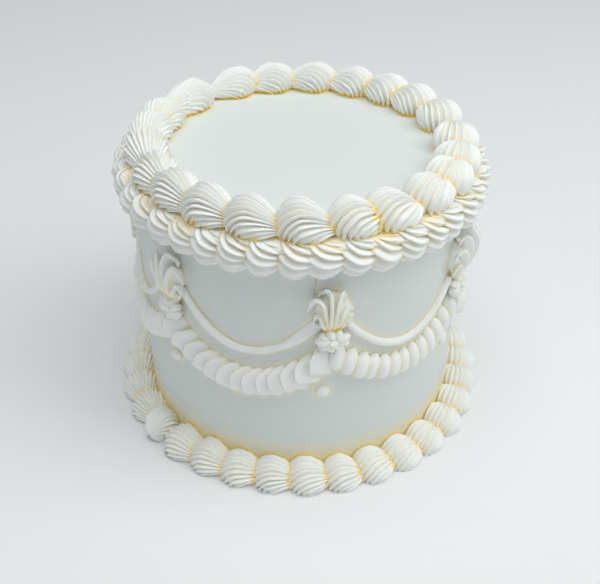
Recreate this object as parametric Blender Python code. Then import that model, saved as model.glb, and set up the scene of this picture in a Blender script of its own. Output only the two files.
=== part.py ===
# A one-tier piped cake: a plain iced drum with three ring borders and seven piped swags.
# Metres, +Z up. The origin is the centre of the cake's flat underside, and -Y is the front.
# An azimuth is in degrees from the front, positive towards +X.

import math
import random

import bmesh
import bpy
from mathutils import Matrix, Vector

BODY_RADIUS = 0.085
BODY_HEIGHT = 0.1425
BODY_EDGE = 0.0025
BODY_SIDES = 56

GAP = 0.0003
WALL = BODY_RADIUS + GAP
TOP = BODY_HEIGHT + GAP
SLIVER = 0.00002
FLAT_ANGLE = math.radians(0.5)
CREASE_ANGLE = math.radians(50.0)
ICING_ROUGHNESS = 0.5

# What all piped shells share: how far their ridges fan out, how square their outline is, how
# soon they rise from the tail, and where along them the top of the bulge is.
FAN_END = 0.90 * math.pi
OUTLINE_POWER = 0.86
SPREAD_POWER = 0.62
DOME_POWER = 0.8
SWELL_END = 0.62
BULGE_TOP = 0.65

# The big shells on the top edge. At the front they are closer together and a little taller.
TOP_SHELL_COUNT = 22
TOP_SHELL = {"length": 0.0258, "width": 0.0198, "height": 0.0138, "ridges": 7, "depth": 0.0020,
             "rings": 4, "tuck": 0.22, "tail": 0.62}
TOP_RING_RADIUS = 0.0775
TOP_FRONT_RISE = 0.06
TOP_START = -1.4
TOP_CROWDING = 4.6
TOP_CROWD_TURN = 24.0

# The coarse shells on the wall, just under the top edge. Their upper side is a flat shelf.
RIM_SHELL_COUNT = 41
RIM_SHELL = {"length": 0.0172, "width": 0.0170, "height": 0.0096, "ridges": 4, "depth": 0.0020,
             "rings": 3, "tuck": 0.12, "tail": 0.66}
RIM_LEVEL = 0.1364
RIM_START = 6.0
RIM_JITTER = 0.7

# The shells on the floor, pressed against the wall.
BASE_SHELL_COUNT = 32
BASE_SHELL = {"length": 0.0232, "width": 0.0198, "height": 0.0124, "ridges": 5, "depth": 0.0015,
              "rings": 3, "tuck": 0.20, "tail": 0.64}
BASE_RING_RADIUS = 0.0916
BASE_START = 2.1
BASE_CROWDING = 1.4

# The seven joints of the swags. Each has a shell, a rosette and a dot below one another.
JOINT_COUNT = 7
JOINT_START = 10.0
JOINT_OFFSETS = (0.0, 1.4, 0.6, -0.4, -1.5, -2.6, -3.6)
JOINT_SIZES = (0.86, 0.93, 0.97, 1.02, 0.95, 1.0, 1.02)
SWAG_DROPS = (-0.0010, 0.0004, -0.0006, 0.0008, -0.0004, 0.0006, 0.0014)
SIDE_SHELL = {"length": 0.0248, "width": 0.0204, "height": 0.0130, "ridges": 6, "depth": 0.0022,
              "rings": 4, "tuck": 0.10, "tail": 0.55}
SIDE_SHELL_FOOT = 0.0996
ROSETTE_RADIUS = 0.0067
ROSETTE_HEIGHT = 0.0085
ROSETTE_NIB = 0.0128
ROSETTE_PETALS = 8
ROSETTE_LEVEL = 0.0926
ROSETTE_VALLEY = 0.76
ROSETTE_SECTION = ((1.0, 0.0), (0.98, 0.55), (0.44, 1.0))
DOT_RADIUS = 0.0034
DOT_HEIGHT = 0.0030
DOT_LEVEL = 0.0560
DOT_SHIFT = -2.2
DOT_SIDES = 6
DOT_SECTION = ((1.0, 0.0), (0.80, 0.55))

# A thin round string and a ruffle of overlapping petals hang between two joints.
STRING_RADIUS = 0.0018
STRING_SIDES = 6
STRING_STEPS = 8
STRING_CLEAR = 6.6
STRING_LEVEL = 0.1005
STRING_LOW = 0.0820
STRING_DROP_SHARE = 0.5
RUFFLE_PETALS = 13
RUFFLE_CLEAR = 1.2
RUFFLE_LEVEL = 0.0786
RUFFLE_LOW = 0.0628
RUFFLE_LEAN = 0.8
RUFFLE_HEIGHT = 0.0126
RUFFLE_DEPTH = 0.0078
RUFFLE_STEP = 0.0040
RUFFLE_STEP_SIZE = 0.84
RUFFLE_EDGE = 0.03
RUFFLE_SECTION = ((-0.47, 0.0), (-0.44, 0.78), (0.36, 0.92), (0.50, 0.0))

ICING = (0.86, 0.87, 0.83)
BODY_ICING = (0.84, 0.86, 0.84)


# Places on the drum

def on_ring(azimuth, radius, level):
    turn = math.radians(azimuth)
    return Vector((radius * math.sin(turn), -radius * math.cos(turn), level))


def outward(azimuth):
    return on_ring(azimuth, 1.0, 0.0)


def joint_azimuth(index):
    return JOINT_START + index * 360.0 / JOINT_COUNT + JOINT_OFFSETS[index % JOINT_COUNT]


# Objects and meshes

def clear_scene():
    for item in list(bpy.data.objects):
        bpy.data.objects.remove(item, do_unlink=True)


def icing_material(name, colour):
    material = bpy.data.materials.new(name)
    material.use_nodes = True
    shader = material.node_tree.nodes["Principled BSDF"]
    shader.inputs["Base Color"].default_value = (*colour, 1.0)
    shader.inputs["Roughness"].default_value = ICING_ROUGHNESS
    shader.inputs["Metallic"].default_value = 0.0
    return material


def mesh_object(name, points, faces):
    mesh = bpy.data.meshes.new(name)
    mesh.from_pydata([tuple(point) for point in points], [], faces)
    mesh.update()
    item = bpy.data.objects.new(name, mesh)
    bpy.context.collection.objects.link(item)
    return item


def finish_object(item, name, colour=ICING):
    item.name = name
    item.data.name = name
    item.data.materials.clear()
    item.data.materials.append(icing_material(name + "_icing", colour))
    item.data.shade_smooth()
    item.data.set_sharp_from_angle(angle=CREASE_ANGLE)


def triangulate(item):
    work = bmesh.new()
    work.from_mesh(item.data)
    bmesh.ops.triangulate(work, faces=work.faces[:])
    bmesh.ops.recalc_face_normals(work, faces=work.faces[:])
    work.to_mesh(item.data)
    work.free()


def cut_flat(item, point, normal):
    # Removes what lies beyond a plane, and closes the cut with a flat face.
    work = bmesh.new()
    work.from_mesh(item.data)
    everything = work.verts[:] + work.edges[:] + work.faces[:]
    cut = bmesh.ops.bisect_plane(work, geom=everything, dist=SLIVER, plane_co=point, plane_no=normal,
                                 clear_outer=True)
    rim = [part for part in cut["geom_cut"] if isinstance(part, bmesh.types.BMEdge)]
    if rim:
        bmesh.ops.holes_fill(work, edges=rim, sides=0)
    bmesh.ops.triangulate(work, faces=work.faces[:])
    bmesh.ops.recalc_face_normals(work, faces=work.faces[:])
    work.to_mesh(item.data)
    work.free()


def keep_outer_skin(mesh):
    # Keeps the largest closed skin, so that sealed hollows are filled and scraps are dropped.
    work = bmesh.new()
    work.from_mesh(mesh)
    left = set(work.verts)
    skins = []
    while left:
        skin = set()
        front = [left.pop()]
        while front:
            vertex = front.pop()
            skin.add(vertex)
            for edge in vertex.link_edges:
                other = edge.other_vert(vertex)
                if other in left:
                    left.discard(other)
                    front.append(other)
        skins.append(skin)
    largest = max(skins, key=len)
    scraps = [vertex for skin in skins if skin is not largest for vertex in skin]
    bmesh.ops.delete(work, geom=scraps, context="VERTS")
    bmesh.ops.dissolve_degenerate(work, dist=SLIVER, edges=work.edges[:])
    bmesh.ops.dissolve_limit(work, angle_limit=FLAT_ANGLE, verts=work.verts[:],
                             edges=work.edges[:])
    bmesh.ops.triangulate(work, faces=work.faces[:])
    work.to_mesh(mesh)
    work.free()


def fuse(pieces):
    # One union of overlapping closed pieces.
    first = pieces[0]
    others = bpy.data.collections.new("pieces")
    bpy.context.scene.collection.children.link(others)
    for piece in pieces[1:]:
        bpy.context.collection.objects.unlink(piece)
        others.objects.link(piece)
    union = first.modifiers.new("union", "BOOLEAN")
    union.operation = "UNION"
    union.operand_type = "COLLECTION"
    union.collection = others
    union.solver = "MANIFOLD"
    view = bpy.context.evaluated_depsgraph_get()
    view.update()
    fused = bpy.data.meshes.new_from_object(first.evaluated_get(view))
    first.modifiers.clear()
    first.data = fused
    for piece in pieces[1:]:
        bpy.data.objects.remove(piece, do_unlink=True)
    bpy.data.collections.remove(others)
    keep_outer_skin(fused)
    return first


# The form of a piped shell. Its frame starts at the tail, on the surface it is piped on:
# X runs to the head, Y goes across and Z stands off the surface.

def fuller(share):
    # Squares an oval outline a little.
    return math.copysign(abs(share) ** OUTLINE_POWER, share)


def smooth_shell_point(form, fan, arch):
    tuck = form["tuck"]
    along = max(0.0, (1.0 - math.cos(arch)) / 2.0) ** SPREAD_POWER
    x = form["length"] / 2.0 * (1.0 + fuller(math.cos(fan))) * along
    y = form["width"] / 2.0 * fuller(math.sin(fan)) * along
    rise = (math.sin(arch) + math.sin(tuck)) / (1.0 + math.sin(tuck))
    z = form["height"] * math.cos(fan / 2.0) ** DOME_POWER * rise
    near_head = min(1.0, x / (SWELL_END * form["length"]))
    swell = form["tail"] + (1.0 - form["tail"]) * math.sin(near_head * math.pi / 2.0)
    return Vector((x, y * swell, z * swell))


def ridged_shell_point(form, fan, arch, relief):
    step = 0.01
    point = smooth_shell_point(form, fan, arch)
    across = smooth_shell_point(form, fan + step, arch) - smooth_shell_point(form, fan - step, arch)
    along = smooth_shell_point(form, fan, arch + step) - smooth_shell_point(form, fan, arch - step)
    normal = across.cross(along)
    if normal.z < 0.0 and arch < math.pi:
        normal.negate()
    elif arch >= math.pi:
        normal = Vector((math.cos(fan), math.sin(fan), 0.0))
    normal.normalize()
    deep = form["depth"] * min(1.0, point.length / (0.5 * form["length"]))
    ridged = point + normal * deep * relief
    ridged.z = max(ridged.z, 0.0)
    return ridged


def shell_mesh(form, place):
    # Ridges fan out from the tail point. Odd columns are crests and even ones are grooves.
    columns = 2 * form["ridges"]
    rings = form["rings"]
    arch_end = math.pi + form["tuck"]
    points = [place(Vector((0.0, 0.0, 0.0)))]
    for column in range(columns + 1):
        fan = FAN_END * (2.0 * column / columns - 1.0)
        relief = 0.5 if column % 2 else -0.5
        for ring in range(1, rings + 1):
            point = ridged_shell_point(form, fan, arch_end * ring / rings, relief)
            if ring == rings:
                point.z = 0.0
            points.append(place(point))

    def at(column, ring):
        return 1 + column * rings + ring - 1

    faces = []
    for column in range(columns):
        faces.append((0, at(column, 1), at(column + 1, 1)))
        for ring in range(1, rings):
            faces.append((at(column, ring), at(column, ring + 1),
                          at(column + 1, ring + 1), at(column + 1, ring)))
    for column in (0, columns):
        faces.append((0, *[at(column, ring) for ring in range(1, rings + 1)]))
    faces.append((0, *[at(column, rings) for column in range(columns + 1)]))
    item = mesh_object("shell", points, faces)
    triangulate(item)
    return item


def uneven(form, draw, amount):
    # A hand-piped copy: length, width and height each differ a little.
    varied = dict(form)
    for name in ("length", "width", "height"):
        varied[name] = form[name] * (1.0 + draw.uniform(-amount, amount))
    return varied


def apex(form):
    return BULGE_TOP * form["length"]


# The pieces

def make_body():
    work = bmesh.new()
    bmesh.ops.create_cone(work, cap_ends=True, segments=BODY_SIDES, radius1=BODY_RADIUS,
                          radius2=BODY_RADIUS, depth=BODY_HEIGHT,
                          matrix=Matrix.Translation((0.0, 0.0, BODY_HEIGHT / 2.0)))
    top_edges = [edge for edge in work.edges
                 if all(vertex.co.z > BODY_HEIGHT - SLIVER for vertex in edge.verts)]
    bmesh.ops.bevel(work, geom=top_edges, offset=BODY_EDGE, segments=2, profile=0.5,
                    affect="EDGES")
    mesh = bpy.data.meshes.new("cake_body")
    work.to_mesh(mesh)
    work.free()
    item = bpy.data.objects.new("cake_body", mesh)
    bpy.context.collection.objects.link(item)
    finish_object(item, "cake_body", BODY_ICING)


def make_top_border():
    draw = random.Random(11)
    pieces = []
    for index in range(TOP_SHELL_COUNT):
        even = index * 360.0 / TOP_SHELL_COUNT
        crowd = TOP_CROWDING * math.sin(math.radians(even - TOP_CROWD_TURN))
        azimuth = TOP_START + even - crowd
        form = uneven(TOP_SHELL, draw, 0.03)
        form["height"] *= 1.0 + TOP_FRONT_RISE * math.cos(math.radians(azimuth))

        def place(point, azimuth=azimuth, form=form):
            turn = azimuth - math.degrees((point.x - apex(form)) / TOP_RING_RADIUS)
            return on_ring(turn, TOP_RING_RADIUS + point.y, TOP + point.z)

        pieces.append(shell_mesh(form, place))
    finish_object(fuse(pieces), "top_border")


def make_rim_border():
    draw = random.Random(12)
    pieces = []
    for index in range(RIM_SHELL_COUNT):
        azimuth = RIM_START + index * 360.0 / RIM_SHELL_COUNT + draw.uniform(-RIM_JITTER, RIM_JITTER)
        form = uneven(RIM_SHELL, draw, 0.04)
        out = outward(azimuth)
        side = outward(azimuth - 90.0)

        def place(point, out=out, side=side, form=form):
            level = Vector((0.0, 0.0, RIM_LEVEL - point.y))
            return level + out * (WALL + point.z) + side * (point.x - apex(form))

        piece = shell_mesh(form, place)
        cut_flat(piece, Vector((0.0, 0.0, BODY_HEIGHT)), Vector((0.0, 0.0, 1.0)))
        pieces.append(piece)
    finish_object(fuse(pieces), "rim_border")


def make_base_border():
    draw = random.Random(13)
    pieces = []
    for index in range(BASE_SHELL_COUNT):
        even = index * 360.0 / BASE_SHELL_COUNT
        azimuth = BASE_START + even - BASE_CROWDING * math.sin(math.radians(even))
        form = uneven(BASE_SHELL, draw, 0.03)

        def place(point, azimuth=azimuth, form=form):
            turn = azimuth - math.degrees((point.x - apex(form)) / BASE_RING_RADIUS)
            return on_ring(turn, BASE_RING_RADIUS + point.y, point.z)

        piece = shell_mesh(form, place)
        out = outward(azimuth)
        cut_flat(piece, out * WALL, -out)
        pieces.append(piece)
    finish_object(fuse(pieces), "base_border")


def make_side_shell(name, azimuth, form):
    out = outward(azimuth)
    side = outward(azimuth - 90.0)

    def place(point):
        level = Vector((0.0, 0.0, SIDE_SHELL_FOOT + point.x))
        return level + out * (WALL + point.z) + side * point.y

    finish_object(shell_mesh(form, place), name)


def make_rosette(name, azimuth):
    # Petals stand round a nib that points away from the wall.
    out = outward(azimuth)
    side = outward(azimuth + 90.0)
    columns = 2 * ROSETTE_PETALS
    points = []
    for share, lift in ROSETTE_SECTION:
        for column in range(columns):
            turn = 2.0 * math.pi * column / columns
            petal = 1.0 if column % 2 else ROSETTE_VALLEY
            reach = ROSETTE_RADIUS * share * petal
            spot = side * reach * math.sin(turn) + Vector((0.0, 0.0, reach * math.cos(turn)))
            stand = out * (WALL + ROSETTE_HEIGHT * lift)
            points.append(spot + stand + Vector((0.0, 0.0, ROSETTE_LEVEL)))
    points.append(out * (WALL + ROSETTE_NIB) + Vector((0.0, 0.0, ROSETTE_LEVEL)))
    nib = len(points) - 1
    faces = [tuple(range(columns))]
    for ring in range(len(ROSETTE_SECTION) - 1):
        for column in range(columns):
            after = (column + 1) % columns
            faces.append((ring * columns + column, ring * columns + after,
                          (ring + 1) * columns + after, (ring + 1) * columns + column))
    last = (len(ROSETTE_SECTION) - 1) * columns
    for column in range(columns):
        faces.append((last + column, last + (column + 1) % columns, nib))
    item = mesh_object(name, points, faces)
    triangulate(item)
    finish_object(item, name)


def make_dot(name, azimuth):
    out = outward(azimuth)
    side = outward(azimuth + 90.0)
    columns = DOT_SIDES
    middle = Vector((0.0, 0.0, DOT_LEVEL))
    points = []
    for share, lift in DOT_SECTION:
        for column in range(columns):
            turn = 2.0 * math.pi * column / columns
            reach = DOT_RADIUS * share
            spot = side * reach * math.sin(turn) + Vector((0.0, 0.0, reach * math.cos(turn)))
            points.append(middle + spot + out * (WALL + DOT_HEIGHT * lift))
    points.append(middle + out * (WALL + DOT_HEIGHT))
    faces = [tuple(range(columns))]
    for column in range(columns):
        after = (column + 1) % columns
        faces.append((column, after, columns + after, columns + column))
        faces.append((columns + column, columns + after, 2 * columns))
    item = mesh_object(name, points, faces)
    triangulate(item)
    finish_object(item, name)


def swag_point(share, start, end, clear, ends, low):
    # A hanging curve between two joints, lowest half way: azimuth, level and slope angle.
    span = end - start - 2.0 * clear
    reach = 2.0 * share - 1.0
    level = low + (ends - low) * reach ** 2
    rise = 4.0 * (ends - low) * reach
    run = math.radians(span) * WALL
    return start + clear + share * span, level, math.atan2(rise, run)


def make_string(name, start, end, low):
    # A round bead lying on the wall.
    points = []
    for step in range(STRING_STEPS + 1):
        azimuth, level, steep = swag_point(step / STRING_STEPS, start, end, STRING_CLEAR,
                                           STRING_LEVEL, low)
        for side in range(STRING_SIDES):
            turn = 2.0 * math.pi * (side + 0.5) / STRING_SIDES
            across = STRING_RADIUS * math.sin(turn)
            radius = WALL + STRING_RADIUS * (0.87 + math.cos(turn))
            shift = math.degrees(-across * math.sin(steep) / WALL)
            points.append(on_ring(azimuth + shift, radius, level + across * math.cos(steep)))
    faces = [tuple(range(STRING_SIDES))]
    for step in range(STRING_STEPS):
        for side in range(STRING_SIDES):
            after = (side + 1) % STRING_SIDES
            faces.append((step * STRING_SIDES + side, step * STRING_SIDES + after,
                          (step + 1) * STRING_SIDES + after, (step + 1) * STRING_SIDES + side))
    last = STRING_STEPS * STRING_SIDES
    faces.append(tuple(last + side for side in range(STRING_SIDES)))
    item = mesh_object(name, points, faces)
    triangulate(item)
    finish_object(item, name)


def make_ruffle(name, start, end, low):
    # Each petal stands proud at its left edge and sinks towards the next one.
    columns = []
    for petal in range(RUFFLE_PETALS):
        columns.append(((petal + RUFFLE_EDGE) / RUFFLE_PETALS, RUFFLE_DEPTH, 1.0))
        columns.append(((petal + 1.0 - RUFFLE_EDGE) / RUFFLE_PETALS, RUFFLE_STEP,
                        RUFFLE_STEP_SIZE))
    points = []
    for share, depth, size in columns:
        azimuth, level, steep = swag_point(share, start, end, RUFFLE_CLEAR, RUFFLE_LEVEL, low)
        lean = RUFFLE_LEAN * steep * math.sin(math.pi * share)
        for across, stand in RUFFLE_SECTION:
            reach = across * RUFFLE_HEIGHT * size
            shift = math.degrees(-reach * math.sin(lean) / WALL)
            points.append(on_ring(azimuth + shift, WALL + depth * stand,
                                  level + reach * math.cos(lean)))
    sides = len(RUFFLE_SECTION)
    faces = [tuple(range(sides))]
    for column in range(len(columns) - 1):
        for side in range(sides):
            after = (side + 1) % sides
            faces.append((column * sides + side, column * sides + after,
                          (column + 1) * sides + after, (column + 1) * sides + side))
    last = (len(columns) - 1) * sides
    faces.append(tuple(last + side for side in range(sides)))
    item = mesh_object(name, points, faces)
    triangulate(item)
    finish_object(item, name)


def make_swags():
    draw = random.Random(14)
    for index in range(JOINT_COUNT):
        number = index + 1
        azimuth = joint_azimuth(index)
        following = joint_azimuth(index + 1)
        form = uneven(SIDE_SHELL, draw, 0.01)
        form["length"] *= JOINT_SIZES[index]
        drop = SWAG_DROPS[index]
        make_side_shell(f"side_shell_{number}", azimuth, form)
        make_rosette(f"rosette_{number}", azimuth)
        make_dot(f"dot_{number}", azimuth + DOT_SHIFT)
        make_string(f"string_swag_{number}", azimuth, following,
                    STRING_LOW + STRING_DROP_SHARE * drop)
        make_ruffle(f"ruffle_swag_{number}", azimuth, following, RUFFLE_LOW - drop)


clear_scene()
make_body()
make_top_border()
make_rim_border()
make_base_border()
make_swags()
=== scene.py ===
import math

import bmesh
import bpy
import numpy as np
from mathutils import Matrix, Vector
from mathutils.bvhtree import BVHTree


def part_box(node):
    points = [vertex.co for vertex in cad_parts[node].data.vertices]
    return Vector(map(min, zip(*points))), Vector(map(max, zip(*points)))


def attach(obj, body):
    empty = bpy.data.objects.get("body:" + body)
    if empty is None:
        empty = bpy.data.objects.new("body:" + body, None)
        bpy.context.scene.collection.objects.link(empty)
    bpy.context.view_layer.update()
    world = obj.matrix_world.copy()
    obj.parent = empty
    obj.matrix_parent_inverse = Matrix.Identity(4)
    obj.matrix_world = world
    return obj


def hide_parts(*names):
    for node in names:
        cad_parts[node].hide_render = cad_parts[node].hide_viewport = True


# A tall round cake in smooth pale icing, with shell borders and swags piped round it by hand.
# Metres, +Z up. An azimuth is in degrees from the front (-Y), positive towards +X.
# The piping is modelled as in life: each shell, fold and petal is a closed lump of icing, and
# the lumps of one piece overlap in one mesh.

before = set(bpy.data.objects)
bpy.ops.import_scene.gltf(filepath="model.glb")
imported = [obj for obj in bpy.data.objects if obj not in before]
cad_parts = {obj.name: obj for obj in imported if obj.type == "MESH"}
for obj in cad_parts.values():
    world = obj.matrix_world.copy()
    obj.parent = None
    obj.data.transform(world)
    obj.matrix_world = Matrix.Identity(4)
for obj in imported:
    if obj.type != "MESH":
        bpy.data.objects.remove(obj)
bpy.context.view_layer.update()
bodyLow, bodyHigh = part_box("cake_body")
wall = bodyHigh[0]
foot = bodyLow[2]
top = bodyHigh[2]
print("frame loaded: wall", round(wall, 4), "top", round(top, 4))

swagCount = 7
upward = np.array((0.0, 0.0, 1.0))


# Places on the cake

def onRing(azimuth, radius, level):
    turn = np.radians(azimuth)
    return np.stack(np.broadcast_arrays(radius * np.sin(turn), -radius * np.cos(turn), level), -1)


def fromAxis(points):
    # How far each point stands from the cake's own axis.
    return np.hypot(points[:, 0], points[:, 1])


def standing(azimuth, radius, aside, level):
    # Points of a lump that faces one azimuth: aside runs to its left, not round the cake.
    out = onRing(azimuth, 1.0, 0.0)
    side = onRing(azimuth - 90.0, 1.0, 0.0)
    return (out[None, :] * radius[:, None] + side[None, :] * aside[:, None]
            + upward[None, :] * level[:, None])


def smooth(low, high, value):
    share = np.clip((value - low) / (high - low), 0.0, 1.0)
    return share * share * (3.0 - 2.0 * share)


def give(draw, amount):
    # How far the hand is out, one way or the other.
    return draw.uniform(-amount, amount)


def ripple(draw, count, cycles, azimuth, level):
    # A sum of slow waves over the wall or the top, mostly between -1 and 1.
    total = 0.0
    for _ in range(count):
        around = draw.integers(1, cycles + 1)
        rise = draw.uniform(-60.0, 60.0)
        start = draw.uniform(0.0, 2.0 * math.pi)
        total = total + np.sin(around * np.radians(azimuth) + rise * level + start)
    return total / math.sqrt(count)


# Lumps of icing

class Piping:
    # Gathers closed lumps into one mesh. groove says how deep between ridges a point lies; the
    # material paints the grooves a cream glow.
    reach = 0.0024  # how far from the next lump the painted shade and glow of the crease begins

    def __init__(self):
        self.points = []
        self.quads = []
        self.triangles = []
        self.groove = []
        self.odd = []
        self.total = 0
        self.lumps = 0

    def add(self, points, quads, triangles, groove):
        self.points.append(points)
        self.quads.append(quads + self.total)
        self.triangles.append(triangles + self.total)
        self.groove.append(np.broadcast_to(groove, len(points)))
        self.odd.append(np.full(len(points), self.lumps % 2))
        self.total += len(points)
        self.lumps += 1

    def contact(self, points, faces, odd):
        # Odd lumps are held against even ones: 1 where they meet and 0 from reach outward.
        near = np.zeros(len(points))
        side = odd[[face[0] for face in faces]]
        spots = [Vector(point) for point in points]
        for parity in (0, 1):
            others = [face for face, mark in zip(faces, side) if mark != parity]
            if not others:
                continue
            tree = BVHTree.FromPolygons(spots, others)
            for index in np.flatnonzero(odd == parity):
                found = tree.find_nearest(spots[index], self.reach)
                if found[3] is not None:
                    near[index] = 1.0 - found[3] / self.reach
        return near

    # The closeness to the next lump is the crease mark, which the material paints as shade and glow.
    def build(self, name, node, extra=None, creaseGlow=1.0):
        points = np.concatenate(self.points)
        faces = np.concatenate(self.quads).tolist() + np.concatenate(self.triangles).tolist()
        near = self.contact(points, faces, np.concatenate(self.odd))
        if extra is not None:
            near = np.maximum(near, extra(points))
        piece = makePiece(name, points, faces, np.concatenate(self.groove), near * creaseGlow)
        rideAlong(piece, "piped_icing", node)
        return piece


def makePiece(name, points, faces, groove, near):
    mesh = bpy.data.meshes.new(name)
    mesh.from_pydata(points.tolist(), [], faces)
    work = bmesh.new()
    work.from_mesh(mesh)
    bmesh.ops.recalc_face_normals(work, faces=work.faces[:])
    work.to_mesh(mesh)
    work.free()
    for title, values in (("groove", groove), ("crease", near)):
        layer = mesh.attributes.new(title, "FLOAT", "POINT")
        layer.data.foreach_set("value", np.asarray(values, dtype=np.float32))
    mesh.shade_smooth()
    piece = bpy.data.objects.new(name, mesh)
    bpy.context.scene.collection.objects.link(piece)
    return piece


def rideAlong(piece, slot, *nodes):
    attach(piece, "root")
    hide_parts(*nodes)
    print(piece.name, len(piece.data.polygons), "faces")


def wallCrease(depth, strength=1.0):
    # Icing this close to the smooth wall is in the crease there, which the material paints with shade
    # and glow.
    return lambda points: strength * smooth(depth, 0.0, fromAxis(points) - wall)


def tubeLump(points, ends):
    # Rows of rings are joined to a tube, and each end of it is closed with a fan to one point.
    rows, around = points.shape[:2]
    first = rows * around
    grid = np.arange(first).reshape(rows, around)
    after = np.roll(grid, -1, axis=1)
    quads = np.stack((grid[:-1], after[:-1], after[1:], grid[1:]), -1).reshape(-1, 4)
    caps = np.concatenate((np.stack((after[0], grid[0], np.full(around, first)), -1),
                           np.stack((grid[-1], after[-1], np.full(around, first + 1)), -1)))
    return np.concatenate((points.reshape(-1, 3), ends)), quads, caps


def blob(centre, along, across, out, columns, rings):
    # A closed rounded lump with three half axes.
    fall = (np.arange(1, rings) / rings * math.pi)[:, None]
    turn = (np.arange(columns) / columns * 2.0 * math.pi)[None, :]
    shape = (np.sin(fall) * np.cos(turn), np.sin(fall) * np.sin(turn), np.cos(fall) + 0.0 * turn)
    points = sum(part[..., None] * np.array(axis)
                 for part, axis in zip(shape, (along, across, out))) + np.array(centre)
    return tubeLump(points, (np.array(centre) + np.array(out), np.array(centre) - np.array(out)))


# A piped shell lies along X from its tail at the origin to its head. Y goes across and Z stands
# off the icing below. Its ridges run from the tail over the dome and curl down under the head,
# each in a plane through the tail and a point deep under the head.

plainShell = {"tilt": 6.0, "under": 16.0, "lip": 1.0, "steep": 0.95, "fade": 0.0, "shingle": 0.0,
              "curl": 0.0, "flick": 0.0}
shellRules = {"unevenWidth": 0.16, "unevenDepth": 0.18, "pinch": 0.35,  # of the ridges
              "skirtLean": 118.0, "skirtCrest": 0.3, "skirtGroove": 0.45,  # the plain strip low down
              "tailFall": 1.4, "tailSlim": 1.6,  # powers that shape the back towards the tail
              "ringPower": 0.9, "flickFrom": 0.80, "fadeFrom": 0.30, "fadeTo": 0.95,
              "middle": 0.55, "droopPower": 1.5, "core": (0.60, 0.25), "pivot": 0.65,
              "sink": 0.0003, "probe": 0.004}


def shellSurface(form, lean, share):
    # Points on the plain shell: lean picks the ridge's plane, share runs from tail to floor.
    tilt = math.radians(form["tilt"])
    under = math.radians(form["under"])
    tail = np.array((-math.cos(tilt), 0.0, math.sin(tilt)))
    deep = np.array((math.sin(under), 0.0, -math.cos(under)))
    middle = (tail + deep) / 2.0
    offset = math.sqrt(float(middle @ middle))
    away = -middle / offset
    chord = (deep - tail) / 2.0
    half = math.sqrt(float(chord @ chord))
    chord = chord / half
    outX = np.cos(lean) * away[0]
    outY = np.sin(lean)
    outZ = np.cos(lean) * away[2]
    reach = offset * np.cos(lean)
    girth = np.sqrt(1.0 - (offset * np.sin(lean)) ** 2)
    first = -(math.pi - np.arctan2(half, reach))
    ground = -form["lift"] / (1.0 - form["lift"])
    centreZ = middle[2] + reach * outZ
    swing = girth * np.hypot(outZ, chord[2])
    drop = np.arccos(np.clip((ground - centreZ) / swing, -1.0, 1.0))
    last = first + np.mod(np.arctan2(chord[2], outZ) + drop - first, 2.0 * math.pi)
    angle = first + (last - first) * share
    x = middle[0] + reach * outX + girth * (np.cos(angle) * outX + np.sin(angle) * chord[0])
    y = reach * outY + girth * np.cos(angle) * outY
    z = middle[2] + reach * outZ + girth * (np.cos(angle) * outZ + np.sin(angle) * chord[2])
    back = np.clip(-x, 0.0, 1.0)
    widest = (1.0 - form["head"]) * form["length"]
    high = ((form["lift"] + (1.0 - form["lift"]) * z)
            * (1.0 - form["slope"] * back ** shellRules["tailFall"]))
    return np.stack((widest + np.where(x > 0.0, form["head"], 1.0 - form["head"])
                     * form["length"] * x,
                     form["width"] / 2.0 * y * (1.0 - form["slim"] * back ** shellRules["tailSlim"]),
                     form["height"] * high), -1)


def ridgeProfile(form, draw):
    # The lean and the height of each column: the ridges over the dome, with a skirt on both sides.
    ridges = form["ridges"]
    widths = 1.0 + give(draw, np.full(ridges, shellRules["unevenWidth"]))
    edges = np.concatenate(([0.0], np.cumsum(widths))) / widths.sum()
    place = np.arange(ridges * form["fine"] + 1) / form["fine"]
    place = place - shellRules["pinch"] * np.sin(4.0 * math.pi * place) / (4.0 * math.pi)
    share = np.interp(place, np.arange(ridges + 1), edges) * 2.0 - 1.0
    strength = 1.0 + give(draw, np.full(ridges, shellRules["unevenDepth"]))
    strength = strength[np.minimum(place.astype(int), ridges - 1)]
    within = (place % 1.0) ** form["lip"]
    crest = (0.5 - 0.5 * np.cos(2.0 * math.pi * within)) ** form["sharp"] * strength
    plain = np.arange(1, form["skirt"] + 1) / form["skirt"]
    spread = math.radians(form["open"])
    skirt = (math.radians(shellRules["skirtLean"]) - spread) * plain
    lean = np.concatenate((-spread - skirt[::-1], share * spread, spread + skirt))
    low = shellRules["skirtCrest"]
    return lean[:, None], np.concatenate((low * plain, crest, low * plain[::-1]))[:, None]


def unit(vectors):
    return vectors / np.maximum(np.linalg.norm(vectors, axis=-1, keepdims=True), 1e-12)


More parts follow.
